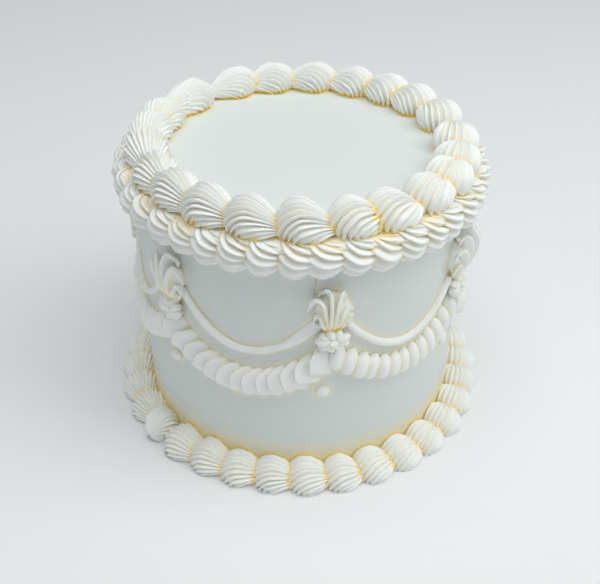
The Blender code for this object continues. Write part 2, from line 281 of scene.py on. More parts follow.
def shellLump(form, draw):
    rules = shellRules
    rings = form["rings"]
    spread = math.radians(form["open"])
    lean, crest = ridgeProfile(form, draw)
    columns = len(crest) - 1
    along = (np.arange(1, rings + 1) / rings)[None, :] ** rules["ringPower"]
    flick = (form["flick"] * smooth(rules["flickFrom"], 1.0, along)
             + form["curl"] * np.sin(math.pi * along))
    turned = lean + flick * np.sin(lean)
    step = rules["probe"]
    point = shellSurface(form, turned, along)
    across = shellSurface(form, turned + step, along) - shellSurface(form, turned - step, along)
    onward = shellSurface(form, turned, along + step) - shellSurface(form, turned, along - step)
    normal = np.cross(across, onward)
    area = np.linalg.norm(normal, axis=-1)
    normal = normal / np.maximum(area, 1e-15)[..., None]
    core = np.array((rules["core"][0] * form["length"], 0.0, rules["core"][1] * form["height"]))
    facing = np.sign(np.sum(normal * (point - core), axis=-1, keepdims=True))
    normal = normal * np.where(facing == 0.0, 1.0, facing)
    # A ridge is never deeper than its own pitch allows, so it runs out towards the tail.
    pitch = (area / np.maximum(np.linalg.norm(onward, axis=-1), 1e-12) / (2.0 * step)
             * 2.0 * spread / form["ridges"])
    deep = np.minimum(form["depth"], form["steep"] * pitch)
    deep = deep * (1.0 - form["fade"] * smooth(rules["fadeFrom"], rules["fadeTo"], -lean / spread))
    heading = unit(onward)
    aside = unit(across - np.sum(across * heading, axis=-1, keepdims=True) * heading)
    droop = deep * form["shingle"] * crest ** rules["droopPower"]
    point = point + normal * (deep * (crest - rules["middle"]))[..., None]
    point = point + aside * droop[..., None]
    point[..., 2] = np.maximum(point[..., 2], 0.0)
    point[:, -1, 2] = -rules["sink"]
    # How deep in a groove each point lies; the material paints this as a cream glow.
    groove = (1.0 - np.minimum(crest, 1.0)) * np.minimum(1.0, deep / form["depth"])
    groove = np.where(np.abs(lean) > spread + 0.001, rules["skirtGroove"] * groove, groove)
    tail = shellSurface(form, np.zeros((1, 1)), np.zeros((1, 1))).reshape(1, 3)
    middle = np.array([[rules["middle"] * form["length"], 0.0, -rules["sink"]]])
    points = np.concatenate((tail, point.reshape(-1, 3), middle))
    grooves = np.concatenate(([0.3], groove.reshape(-1), [1.0]))
    grid = 1 + np.arange((columns + 1) * rings).reshape(columns + 1, rings)
    quads = np.stack((grid[:-1, :-1], grid[:-1, 1:], grid[1:, 1:], grid[1:, :-1]), -1).reshape(-1, 4)
    nose = np.stack((np.zeros(columns, int), grid[:-1, 0], grid[1:, 0]), -1)
    rim = np.concatenate(([0], grid[0, :], grid[1:, -1], grid[-1, -2::-1]))
    floor = np.stack((rim, np.roll(rim, -1), np.full(len(rim), len(points) - 1)), -1)
    return points, quads, np.concatenate((nose, floor)), grooves


def handMade(form, draw, amount):
    # Every lump differs a little in length, width and height.
    made = {**plainShell, **form}
    for key in ("length", "width", "height"):
        made[key] = form[key] * (1.0 + give(draw, amount))
    return made


def yawed(points, form, degrees):
    # Turns a lump about its highest place.
    turn = math.radians(degrees)
    x = points[:, 0] - shellRules["pivot"] * form["length"]
    y = points[:, 1]
    return (x * math.cos(turn) - y * math.sin(turn), x * math.sin(turn) + y * math.cos(turn),
            points[:, 2])


# The smooth icing

cakeIcing = {"around": 420, "edge": 0.0030, "edgeSteps": 9, "wallSteps": 96, "topSteps": 60,
             "wallWave": 0.00022, "wallRipple": (9, 7), "topWave": 0.00018, "topRipple": (7, 4),
             "stillRadius": 0.02,
             "inset": 0.0002, "lowered": 0.0001}  # just inside the solid it replaces


def makeBody(values):
    draw = np.random.default_rng(3)
    edge = values["edge"]
    lowered = values["lowered"]
    wallLevels = np.linspace(0.0, top - edge, values["wallSteps"])
    bend = np.linspace(0.0, math.pi / 2.0, values["edgeSteps"])[1:]
    radii = np.concatenate((np.full(len(wallLevels), wall), wall - edge + edge * np.cos(bend),
                            np.linspace(wall - edge, 0.001, values["topSteps"])[1:]))
    levels = np.concatenate((wallLevels, top - edge + edge * np.sin(bend),
                             np.full(values["topSteps"] - 1, top)))
    azimuth = np.arange(values["around"]) * 360.0 / values["around"]
    azimuth, radii = np.meshgrid(azimuth, radii)
    levels = np.broadcast_to(levels[:, None], azimuth.shape)
    onWall = smooth(0.0, edge, top - levels)
    wallShift = values["wallWave"] * ripple(draw, *values["wallRipple"], azimuth, levels) * onWall
    topShift = values["topWave"] * ripple(draw, *values["topRipple"], azimuth, radii) * (1.0 - onWall)
    topShift = topShift * smooth(0.0, values["stillRadius"], radii)
    points = onRing(azimuth, radii + wallShift - values["inset"],
                    np.maximum(levels + topShift - lowered, 0.0))
    points, quads, caps = tubeLump(points, ((0.0, 0.0, 0.0), (0.0, 0.0, top - lowered)))
    plain = np.zeros(len(points))
    return makePiece("smoothIcing", points, quads.tolist() + caps.tolist(), plain, plain)


# Painted light on the smooth icing: beside piping it gets a painted crease of shade and glow, and low
# on the wall near the foot a painted cream glow of light bounced up from below.
wallPaintedGlow = {"reach": 0.0042, "share": 0.72, "lowShare": 0.50, "lowBand": (0.045, 0.030),
              "footBand": (0.036, 0.008), "skin": (0.002, 0.0006)}


def markBody(piece, neighbours, values):
    reach = values["reach"]
    points = np.empty(len(piece.data.vertices) * 3)
    piece.data.vertices.foreach_get("co", points)
    points = points.reshape(-1, 3)
    near = np.zeros(len(points))
    for other in neighbours:
        tree = BVHTree.FromPolygons([vertex.co for vertex in other.data.vertices],
                                    [face.vertices for face in other.data.polygons])
        corners = np.array([corner[:] for corner in other.bound_box])
        low = corners.min(0) - reach
        high = corners.max(0) + reach
        inside = np.all((points > low) & (points < high), axis=1)
        for index in np.flatnonzero(inside):
            found = tree.find_nearest(Vector(points[index]), reach)
            if found[3] is not None:
                near[index] = max(near[index], 1.0 - found[3] / reach)
    # Beside the piping, and more so low down, the crease is painted; near the foot the groove mark
    # paints a cream glow.
    near = near * (values["share"] + values["lowShare"] * smooth(*values["lowBand"], points[:, 2]))
    outer, inner = values["skin"]
    low = smooth(*values["footBand"], points[:, 2]) * smooth(wall - outer, wall - inner,
                                                             fromAxis(points))
    piece.data.attributes["groove"].data.foreach_set("value", low.astype(np.float32))
    piece.data.attributes["crease"].data.foreach_set("value", near.astype(np.float32))


body = makeBody(cakeIcing)
rideAlong(body, "smooth_icing", "cake_body")


# The big shells on the top edge. Broad says how far a shell lies to the right, where the real ones
# have fewer, rounder ridges. Steep ones, there and at the back, stand up more.

topShells = {"count": 22, "ring": 0.0775, "start": -1.4, "crowding": 4.6, "crowdTurn": 24.0,
             "shifts": (-0.9, 0.8, -1.0, 2.0, 1.0, 0.0, 0.0, 3.0, 3.3, 0.7, -1.6, -1.9, -2.4, -3.8,
                        -3.5, 3.0, -2.8, -7.5, -1.0, -2.2, -3.0, -2.6),
             "closing": {"azimuth": -121.5, "width": 0.72, "height": 0.94},  # a small extra shell
             "reach": 19.0,  # degrees that one shell covers: a wider gap lengthens its tail
             "frontRise": 0.10, "sink": 0.0004, "uneven": 0.03, "curl": 0.04, "flick": 0.05,
             "yaw": 4.0, "crease": (0.0034, 0.0008),
             "broad": {"band": (-0.2, 0.7), "ridges": 3, "sharp": 0.10, "flick": 0.15},
             "steep": {"band": (0.1, 0.9), "back": 0.7, "tilt": 24.0, "slope": -0.26, "open": 12.0},
             "form": {"length": 0.0290, "width": 0.0212, "height": 0.0143, "ridges": 17, "fine": 8,
                      "rings": 26, "skirt": 2, "depth": 0.0032, "sharp": 0.70, "lip": 1.4,
                      "steep": 1.2, "shingle": 0.20, "fade": 0.5, "head": 0.36, "lift": 0.40,
                      "slope": 0.70, "slim": 0.35, "tilt": 4.0, "under": -4.0, "open": 80.0}}


def topForm(values, azimuth, draw):
    form = handMade(values["form"], draw, values["uneven"])
    if azimuth == values["closing"]["azimuth"]:
        form["width"] *= values["closing"]["width"]
        form["height"] *= values["closing"]["height"]
    turn = math.radians(azimuth)
    form["height"] *= 1.0 + values["frontRise"] * math.cos(turn)
    broad = float(smooth(*values["broad"]["band"], math.sin(turn)))
    form["ridges"] = round(form["ridges"] - values["broad"]["ridges"] * broad)
    form["sharp"] -= values["broad"]["sharp"] * broad
    back = float(smooth(*values["steep"]["band"], -math.cos(turn)))
    steep = max(broad, values["steep"]["back"] * back)
    for key in ("tilt", "slope", "open"):
        form[key] += values["steep"][key] * steep
    form["curl"] = give(draw, values["curl"])
    form["flick"] = give(draw, values["flick"]) + values["broad"]["flick"] * broad
    return form


def makeTopShells(values):
    draw = np.random.default_rng(11)
    piping = Piping()
    azimuths = []
    for index in range(values["count"]):
        even = index * 360.0 / values["count"]
        azimuths.append(values["start"] + even + values["shifts"][index]
                        - values["crowding"] * math.sin(math.radians(even - values["crowdTurn"])))
    following = azimuths[1:] + [azimuths[0] + 360.0]
    gaps = [max(0.0, later - here - values["reach"]) for here, later in zip(azimuths, following)]
    for azimuth, gap in zip(azimuths + [values["closing"]["azimuth"]], gaps + [0.0]):
        form = topForm(values, azimuth, draw)
        form["length"] += math.radians(gap) * values["ring"]
        points, quads, triangles, groove = shellLump(form, draw)
        x, y, z = yawed(points, form, give(draw, values["yaw"]))
        turned = azimuth + gap - np.degrees(x / values["ring"])
        placed = onRing(turned, values["ring"] + y, top - values["sink"] + z)
        piping.add(placed, quads, triangles, groove)
    # Icing close to the top surface, at the shells' feet, gets a painted crease of shade and glow.
    return piping.build("topShells", "top_border",
                        lambda points: smooth(*values["crease"], points[:, 2] - top))


topBorder = makeTopShells(topShells)


# The coarse shells on the wall just under the edge, their upper side smeared to a flat shelf

rimShells = {"count": 41, "start": 6.0, "jitter": 0.7, "level": 0.1356, "centre": 0.0852,
             "turn": 40.0, "uneven": 0.05, "yaw": 5.0,
             "shelf": 0.1429, "shelfJitter": 0.0004, "shelfRise": 0.06,
             "crease": 0.55, "creaseBand": (0.0860, 0.0790), "creaseGlow": 0.78,
             "form": {"length": 0.0190, "width": 0.0184, "height": 0.0150, "ridges": 13,
                      "fine": 7, "rings": 20, "skirt": 2, "depth": 0.0028, "sharp": 0.62,
                      "lip": 1.7, "steep": 1.3, "shingle": 0.35, "head": 0.42, "lift": 0.40,
                      "slope": 0.25, "slim": 0.20, "tilt": -10.0, "under": 10.0, "open": 100.0}}
# The smooth smeared band that joins the row to the top edge, as radius and level
smearedShelf = {"profile": ((0.0780, 0.1415), (0.0780, 0.1430), (0.0850, 0.1430),
                            (0.0880, 0.1427), (0.0900, 0.1416), (0.0905, 0.1400),
                            (0.0885, 0.1385), (0.0846, 0.1380)),
                "around": 240, "ripple": (9, 21), "outWave": 0.0007, "upWave": 0.00025, "upShift": 31,
                "groove": 0.45}


def shelfRing(values, draw):
    profile = np.array(values["profile"])
    around = values["around"]
    azimuth = np.arange(around) * 360.0 / around
    wave = ripple(draw, *values["ripple"], azimuth, 0.0)
    outer = smooth(wall, wall + 0.005, profile[:, 0])
    radius = profile[:, 0][:, None] + values["outWave"] * wave[None, :] * outer[:, None]
    level = profile[:, 1][:, None] + values["upWave"] * np.roll(wave, values["upShift"])[None, :]
    points = onRing(azimuth[None, :], radius, level)
    grid = np.arange(points.shape[0] * around).reshape(-1, around)
    below = np.roll(grid, -1, axis=0)
    quads = np.stack((grid, np.roll(grid, -1, axis=1), np.roll(below, -1, axis=1), below), -1)
    return points.reshape(-1, 3), quads.reshape(-1, 4), np.empty((0, 3), int), values["groove"]


def makeRimShells(values):
    draw = np.random.default_rng(12)
    piping = Piping()
    turn = math.radians(values["turn"])
    for index in range(values["count"]):
        azimuth = values["start"] + index * 360.0 / values["count"] + give(draw, values["jitter"])
        form = handMade(values["form"], draw, values["uneven"])
        points, quads, triangles, groove = shellLump(form, draw)
        x, y, z = yawed(points, form, give(draw, values["yaw"]))
        z = z - form["lift"] * form["height"]
        radius = values["centre"] + z * math.cos(turn) - y * math.sin(turn)
        level = values["level"] - z * math.sin(turn) - y * math.cos(turn)
        shelf = values["shelf"] + values["shelfJitter"] * draw.uniform(-1.0, 1.0)
        over = level > shelf
        groove = np.where(over, 0.0, groove)
        level = np.where(over, shelf + values["shelfRise"] * (level - shelf), level)
        piping.add(standing(azimuth, radius, x, level), quads, triangles, groove)
    piping.add(*shelfRing(smearedShelf, draw))
    # Icing close in under the top shells' feet gets a painted crease of shade and glow; the smooth
    # shelf takes a little of the grooves' painted cream.
    inner = lambda points: values["crease"] * smooth(*values["creaseBand"], fromAxis(points))
    return piping.build("rimShells", "rim_border", inner, values["creaseGlow"])


rimBorder = makeRimShells(rimShells)


# The shells round the foot. Where the ring closes, one is smaller and lies turned across it.

baseShells = {"count": 32, "ring": 0.0916, "start": 2.1, "crowding": 1.4, "uneven": 0.04,
              "curl": 0.06, "yaw": 6.0, "closing": 27, "closingYaw": -72.0,
              "closingForm": {"length": 0.0200, "width": 0.0180, "height": 0.0136, "ridges": 13,
                              "slope": 0.35, "tilt": 24.0},
              "creaseDepth": 0.0020, "crease": 0.8,
              "form": {"length": 0.0250, "width": 0.0206, "height": 0.0126, "ridges": 15,
                       "fine": 7, "rings": 24, "skirt": 3, "depth": 0.0022, "sharp": 0.7,
                       "lip": 1.2, "head": 0.38, "lift": 0.25, "slope": 0.60, "slim": 0.32,
                       "open": 78.0, "flick": 0.05}}


def makeBaseShells(values):
    draw = np.random.default_rng(13)
    piping = Piping()
    for index in range(values["count"]):
        even = index * 360.0 / values["count"]
        azimuth = values["start"] + even - values["crowding"] * math.sin(math.radians(even))
        form = handMade(values["form"], draw, values["uneven"])
        form["curl"] = give(draw, values["curl"])
        if index == values["closing"]:
            form.update(values["closingForm"])
        points, quads, triangles, groove = shellLump(form, draw)
        yaw = give(draw, values["yaw"])
        if index == values["closing"]:
            yaw = values["closingYaw"]
        x, y, z = yawed(points, form, yaw)
        turned = azimuth - np.degrees(x / values["ring"])
        placed = onRing(turned, values["ring"] + y, np.maximum(z, foot))
        piping.add(placed, quads, triangles, groove)
    return piping.build("baseShells", "base_border",
                        wallCrease(values["creaseDepth"], values["crease"]))


baseBorder = makeBaseShells(baseShells)


# The swags hang between seven joints, each a standing shell over a rosette over a dot

joints = {"start": 10.0, "offsets": (0.0, 1.4, 0.6, -0.4, -1.5, -2.6, -3.6),
          "sizes": (0.86, 1.06, 0.97, 1.02, 0.95, 1.0, 1.02),
          "drops": (-0.0010, 0.0004, -0.0006, 0.0008, -0.0004, 0.0006, 0.0014),
          "pressed": 0.0004}


def jointAzimuth(index):
    return joints["start"] + index * 360.0 / swagCount + joints["offsets"][index % swagCount]


def fromWall(azimuth, level, points):
    # Places a lump on the wall: its X goes up, its Y to the left and its Z out of the wall.
    return standing(azimuth, wall - joints["pressed"] + points[:, 2], points[:, 1],
                    level + points[:, 0])


# Fins of a standing shell: points of each crest, in millimetres to the right, up and out
fins = (((-3.5, 0.0, 3.0), (-5.4, 4.6, 5.0), (-6.8, 5.6, 5.0), (-7.4, 2.8, 4.0)),
        ((-3.0, 0.9, 3.5), (-5.3, 6.9, 7.0), (-7.9, 12.4, 7.5), (-9.5, 10.9, 6.0),
         (-10.2, 6.2, 4.0)),
        ((-1.9, 1.2, 4.0), (-3.4, 8.3, 8.0), (-5.3, 16.8, 10.0), (-7.8, 22.4, 9.0),
         (-10.1, 20.6, 7.0), (-11.5, 14.3, 4.5)),
        ((-1.4, 1.5, 4.5), (-2.1, 10.5, 9.0), (-2.3, 20.5, 10.5), (-2.8, 26.0, 8.0),
         (-4.5, 27.4, 6.0), (-6.7, 23.7, 4.0), (-7.6, 20.1, 3.0)),
        ((0.6, 1.7, 4.5), (0.3, 10.2, 9.0), (0.8, 19.9, 10.0), (2.4, 24.7, 7.5), (4.7, 23.3, 5.5),
         (6.7, 19.3, 4.0)),
        ((2.7, 2.2, 4.0), (2.7, 7.6, 8.0), (3.9, 14.2, 9.0), (5.9, 18.3, 8.0), (8.2, 17.9, 6.0),
         (10.3, 13.0, 4.0)),
        ((4.4, 1.5, 3.5), (5.2, 6.0, 6.5), (6.8, 11.1, 6.5), (8.4, 10.4, 5.0), (8.7, 4.6, 3.5)))
# Half the section of a fin from root to crest: share of the way out, share of the thickness
finHalf = ((0.0, 0.9), (0.2, 1.0), (0.4, 1.0), (0.6, 0.95), (0.78, 0.85), (0.92, 0.7),
           (0.99, 0.35))
sideShells = {"foot": 0.0945, "sizeShare": 0.55, "steps": 30, "thick": 0.0028, "bow": 0.0012,
              "least": (0.90, 0.95, 0.92), "most": (1.10, 1.05, 1.08),  # unevenness of a crest
              "rootStart": 0.7, "rootSide": 0.42, "rootUp": 0.84, "rootOut": 0.0012,
              "bowBand": (0.2, 0.7), "tipBand": (1.0, 0.4), "thickEnds": 0.6, "thickRoot": 1.15,
              "thinning": 0.45, "clear": 0.0002,
              "ways": (1.0, -1.0, -1.0, 1.0, 1.0, -1.0, -1.0),  # -1 mirrors the shell
              "groove": (0.70, 0.15), "coreGroove": 0.55, "creaseGlow": 0.80,
              "hollow": 1.3, "hollowUp": (0.014, 0.004), "hollowOut": (0.0070, 0.0035),
              "hollowSide": (0.0055, 0.0040),  # the deepest painted gold shade, low between the fins
              "core": {"length": 0.0216, "width": 0.0160, "height": 0.0080, "ridges": 7, "fine": 6,
                       "rings": 16, "skirt": 2, "depth": 0.0004, "sharp": 1.0, "head": 0.45,
                       "lift": 0.25, "slope": 0.30, "slim": 0.45, "open": 80.0}}


def smoothPath(spots, steps):
    # A smooth curve through the spots, evenly spread between them.
    spots = np.concatenate(([2.0 * spots[0] - spots[1]], spots, [2.0 * spots[-1] - spots[-2]]))
    place = np.linspace(0.0, len(spots) - 3 - 1e-6, steps)
    cell = place.astype(int)
    t = (place - cell)[:, None]
    before, here, there, beyond = (spots[cell + step] for step in range(4))
    return (here + 0.5 * t * (there - before)
            + t ** 2 * (before - 2.5 * here + 2.0 * there - 0.5 * beyond)
            + t ** 3 * (1.5 * (here - there) + 0.5 * (beyond - before)))


def shellFin(values, draw, crest, scale, way):
    # A thin sheet from the middle of the shell out to its crest line.
    spots = np.array(crest) * 0.001 * scale
    spots = spots * draw.uniform(values["least"], values["most"], spots.shape)
    line = smoothPath(spots, values["steps"])
    share = np.linspace(0.0, 1.0, values["steps"])[:, None]
    start = line[:1, :1] * values["rootStart"]
    end = line[:, :1].mean() * values["rootSide"]
    root = np.concatenate((start + share * (end - start),
                           share * line[:, 1].max() * values["rootUp"],
                           values["rootOut"] + 0.0 * share), 1)
    across = line - root
    across /= np.linalg.norm(across, axis=1)[:, None]
    normal = np.cross(np.gradient(line, axis=0), across)
    normal /= np.linalg.norm(normal, axis=1)[:, None]
    edge = np.array([(out, -side) for out, side in finHalf] + list(finHalf[::-1]))[None]
    out = edge[:, :, :1]
    ends = values["thickEnds"]
    thick = values["thick"] / 2.0 * (ends + (1.0 - ends) * np.sin(math.pi * np.clip(share, 0.1, 0.9)))
    thick = thick[:, :, None] * (values["thickRoot"] - values["thinning"] * out) * edge[:, :, 1:]
    bow = values["bow"] * np.sin(math.pi * out) * smooth(*values["bowBand"], share)[:, :, None]
    points = root[:, None] + (line - root)[:, None] * out + normal[:, None] * (thick + bow)
    points = points * np.array((way, 1.0, 1.0))
    points[..., 2] = np.maximum(points[..., 2], values["clear"])
    points = np.stack((points[..., 1], -points[..., 0], points[..., 2]), -1)
    flat, quads, caps = tubeLump(points, (points[0].mean(0), points[-1].mean(0)))
    if way > 0.0:  # keeps the outer side of the faces outward
        quads, caps = quads[:, ::-1], caps[:, ::-1]
    # Towards each fin's root, where the fins crowd together, the icing is painted cream.
    groove = smooth(*values["groove"], out[..., 0]) * smooth(*values["tipBand"], share)
    return flat, quads, caps, np.concatenate((groove.reshape(-1), [0.6, 0.2]))


def makeSideShell(index, values):
    draw = np.random.default_rng(140 + index)
    scale = 1.0 + values["sizeShare"] * (joints["sizes"][index] - joints["sizes"][0])
    azimuth = jointAzimuth(index)
    low = values["foot"]
    piping = Piping()
    core = handMade(values["core"], draw, 0.03)
    points, quads, triangles, _ = shellLump(core, draw)
    # The core under the fins takes part of the painted cream.
    piping.add(fromWall(azimuth, low, points), quads, triangles, values["coreGroove"])
    for crest in fins:
        points, quads, triangles, groove = shellFin(values, draw, crest, scale,
                                                    values["ways"][index])
        piping.add(fromWall(azimuth, low, points), quads, triangles, groove)
    aside = onRing(azimuth + 90.0, 1.0, 0.0)
    # Low between the fins, close to the wall, the icing is painted the deepest gold as shade.
    deepest = lambda points: (values["hollow"] * smooth(*values["hollowUp"], points[:, 2] - low)
                              * smooth(*values["hollowOut"], fromAxis(points) - wall)
                              * smooth(*values["hollowSide"], np.abs(points @ aside)))
    return piping.build(f"sideShell{index + 1}", f"side_shell_{index + 1}", deepest,
                        values["creaseGlow"])


# A rosette is a ring of leaning petals on a low cushion, with a nub drawn up in the middle.
rosettes = {"level": 0.0903, "broad": 1.30, "creaseGlow": 0.35, "cushion": 0.0042,
            "cushionHeight": 0.0030, "petals": 9, "ring": 0.0035, "stand": 0.0042,
            "long": 0.0029, "wide": 0.0018, "deep": 0.0028, "twist": 20.0,
            "dip": -0.30, "roll": 0.35, "least": 0.88, "most": 1.10,
            "turnGive": 5.0, "twistGive": 8.0, "standGive": 0.0004,
            "nub": 0.0017, "nubHeight": 0.0034, "nubRise": 0.0010,
            "nubSteps": ((1.0, 0.0), (0.6, 0.0020)), "nubLean": (0.0003, 0.0005, 0.0008)}


def makeRosette(index, values):
    draw = np.random.default_rng(150 + index)
    shape = np.array((1.0, values["broad"], 1.0))
    piping = Piping()

    def place(lump, groove):
        points, quads, caps = lump
        placed = fromWall(jointAzimuth(index), values["level"], points * shape)
        piping.add(placed, quads, caps, groove)

    wide = values["cushion"]
    high = values["cushionHeight"]
    # The cushion, hidden among the petals, takes the grooves' full painted cream as shade and glow.
    place(blob((0.0, 0.0, high), (wide, 0.0, 0.0), (0.0, wide, 0.0), (0.0, 0.0, high), 24, 8), 1.0)
    start = draw.uniform(0.0, 360.0)
    for petal in range(values["petals"]):
        turn = math.radians(start + petal * 360.0 / values["petals"]
                            + give(draw, values["turnGive"]))
        own = turn + math.radians(values["twist"] + give(draw, values["twistGive"]))
        size = draw.uniform(values["least"], values["most"])
        centre = (values["ring"] * math.cos(turn), values["ring"] * math.sin(turn),
                  values["stand"] + give(draw, values["standGive"]))
        roll = values["roll"]
        along = np.array((math.cos(own), math.sin(own), values["dip"])) * values["long"] * size
        across = np.array((-math.sin(own), math.cos(own), roll)) * values["wide"] * size
        out = np.array((roll * math.cos(own), roll * math.sin(own), 1.0)) * values["deep"] * size
        place(blob(centre, along, across, out, 18, 14), 0.0)
    up, left, out = values["nubLean"]
    for step, (share, lift) in enumerate(values["nubSteps"]):
        centre = (up * step, left * step, values["stand"] + values["nubRise"] + lift)
        nub = values["nub"] * share
        axis = (up, out * step, values["nubHeight"] * share)
        place(blob(centre, (nub, 0.0, 0.0), (0.0, nub, 0.0), axis, 14, 12), 0.0)
    return piping.build(f"rosette{index + 1}", f"rosette_{index + 1}", None, values["creaseGlow"])


dots = {"radius": 0.0036, "height": 0.0028, "level": 0.0560, "shift": -2.2, "columns": 32,
        "rings": 12, "wobble": 0.06, "tip": 0.0007, "tipWide": 0.22, "flatness": 2.6,
        "crease": 0.0012, "creaseGlow": 0.7}


def makeDot(index, values):
    draw = np.random.default_rng(160 + index)
    share = np.linspace(0.0, 1.0, values["rings"] + 1)[1:, None]
    turn = (np.arange(values["columns"]) / values["columns"] * 2.0 * math.pi)[None, :]
    wobble = 1.0 + values["wobble"] * np.sin(2.0 * turn + draw.uniform(0.0, 6.0)) * share
    radius = values["radius"] * share * wobble
    stand = values["height"] * (1.0 - share ** values["flatness"]) ** 0.5
    stand = stand + values["tip"] * np.exp(-(share / values["tipWide"]) ** 2) + 0.0 * turn
    points = np.stack((radius * np.cos(turn), radius * np.sin(turn), stand), -1)
    flat, quads, caps = tubeLump(points, ((0.0, 0.0, values["height"] + values["tip"]),
                                          (0.0, 0.0, 0.0)))
    piping = Piping()
    azimuth = jointAzimuth(index) + values["shift"]
    piping.add(fromWall(azimuth, values["level"], flat), quads, caps, 0.0)
    return piping.build(f"dot{index + 1}", f"dot_{index + 1}",
                        wallCrease(values["crease"]), values["creaseGlow"])


def swagPoint(share, start, end, clear, ends, low):
    # A hanging curve between two joints, lowest half way: azimuth, level and slope.
    span = end - start - 2.0 * clear
    reach = 2.0 * share - 1.0
    ends = np.where(reach < 0.0, ends[0], ends[1])
    level = low + (ends - low) * reach ** 2
    slope = np.arctan2(4.0 * (ends - low) * reach, math.radians(span) * wall)
    return start + clear + share * span, level, slope


# A string's level is given at each joint. Near its right end it is pressed flat as far as "flat".
strings = {"radius": 0.0018, "sides": 16, "steps": 72, "clear": 4.4, "low": 0.0785,
           "levels": (0.0985, 0.0975, 0.0990, 0.1000, 0.0995, 0.1005, 0.1030),
           "flat": (0.0, 0.3, 0.0, 0.5, 0.0, 0.2, 1.0), "flatBand": (0.76, 0.92),
           "waves": ((0.06, 9.0), (0.04, 31.0)),  # depth and pace of its slow swellings
           "broader": 0.75, "lower": 0.45, "tipped": 0.25,  # what pressing it flat does
           "middle": 0.80, "seat": 0.9, "sunk": 0.0003, "crease": 0.0012, "creaseGlow": 0.6}


def makeString(index, values):
    draw = np.random.default_rng(170 + index)
    share = np.linspace(0.0, 1.0, values["steps"] + 1)[:, None]
    ends = (values["levels"][index], values["levels"][(index + 1) % swagCount])
    azimuth, level, slope = swagPoint(share, jointAzimuth(index), jointAzimuth(index + 1),
                                      values["clear"], ends,
                                      values["low"] + joints["drops"][index])
    turn = ((np.arange(values["sides"]) + 0.5) / values["sides"] * 2.0 * math.pi)[None, :]
    swell = 1.0
    for depth, pace in values["waves"]:
        swell = swell + depth * np.sin(share * pace + draw.uniform(0.0, 6.0))
    radius = values["radius"] * swell
    pressed = values["flat"][index] * smooth(*values["flatBand"], share)
    across = radius * np.sin(turn) * (1.0 + values["broader"] * pressed)
    stand = (radius * (values["middle"] + np.cos(turn))
             * np.where(np.cos(turn) < 0.0, values["seat"], 1.0))
    stand = stand * (1.0 - values["lower"] * pressed - values["tipped"] * pressed * np.sin(turn))
    shift = np.degrees(-across * np.sin(slope) / wall)
    points = onRing(azimuth + shift, wall - values["sunk"] + stand, level + across * np.cos(slope))
    piping = Piping()
    piping.add(*tubeLump(points, (points[0].mean(0), points[-1].mean(0))), 0.0)
    return piping.build(f"stringSwag{index + 1}", f"string_swag_{index + 1}",
                        wallCrease(values["crease"]), values["creaseGlow"])


# A swag's petals are rounded fingers at scale 0 and lie like flat fish scales at scale 1.
ruffles = {"petals": 13, "clear": 0.1, "level": 0.0805, "low": 0.0632, "lean": 0.8,
           "height": 0.0132, "overlap": 1.42, "depth": 0.0076, "round": 18, "rings": 26,
           "scales": (0.0, 0.5, 0.2, 0.8, 0.3, 0.1, 1.0), "sunk": 0.0003,
           "shareGive": 0.08, "leanGive": 0.06, "heightGive": 0.05, "widthGive": 0.06,
           "depthGive": 0.08, "square": (2.6, 1.6), "taper": 0.8, "narrower": 0.10,
           "fingerRound": 0.75, "fingerFall": 0.35, "plateBack": (-1.0, -0.86),
           "plateFront": (1.0, 0.90), "plateFall": 0.66, "slant": (0.10, 0.35),
           "hang": (0.0012, 0.6), "scaleHang": 0.0014, "crease": 0.0014, "creaseGlow": 0.68}


def petalShape(values, scale, width, height, depth):
    # One petal lying plain: across and along the swag, and how far it stands off the wall.
    turn = np.linspace(0.0, math.pi, values["round"])[:, None]
    high = np.sin(np.linspace(-0.5, 0.5, values["rings"]) * math.pi)[None, :]
    plain, more = values["square"]
    taper = np.sqrt(np.clip(1.0 - np.abs(high) ** (plain + more * scale), 0.0, 1.0))
    ahead = -np.cos(turn)
    front = (ahead + 1.0) / 2.0
    finger = np.sin(turn) ** values["fingerRound"] * (1.0 - values["fingerFall"] * front)
    plate = (smooth(*values["plateBack"], ahead) * smooth(*values["plateFront"], ahead)
             * (1.0 - values["plateFall"] * front))
    stand = depth * ((1.0 - scale) * finger + scale * plate) * taper ** values["taper"]
    plain, more = values["slant"]
    across = (width / 2.0 * ahead * taper * (1.0 - values["narrower"] * high)
              - (plain + more * scale) * stand)
    drop, above = values["hang"]
    along = height / 2.0 * high + drop * front * (high - above)
    return across, along - values["scaleHang"] * scale * (1.0 - high) * front, stand


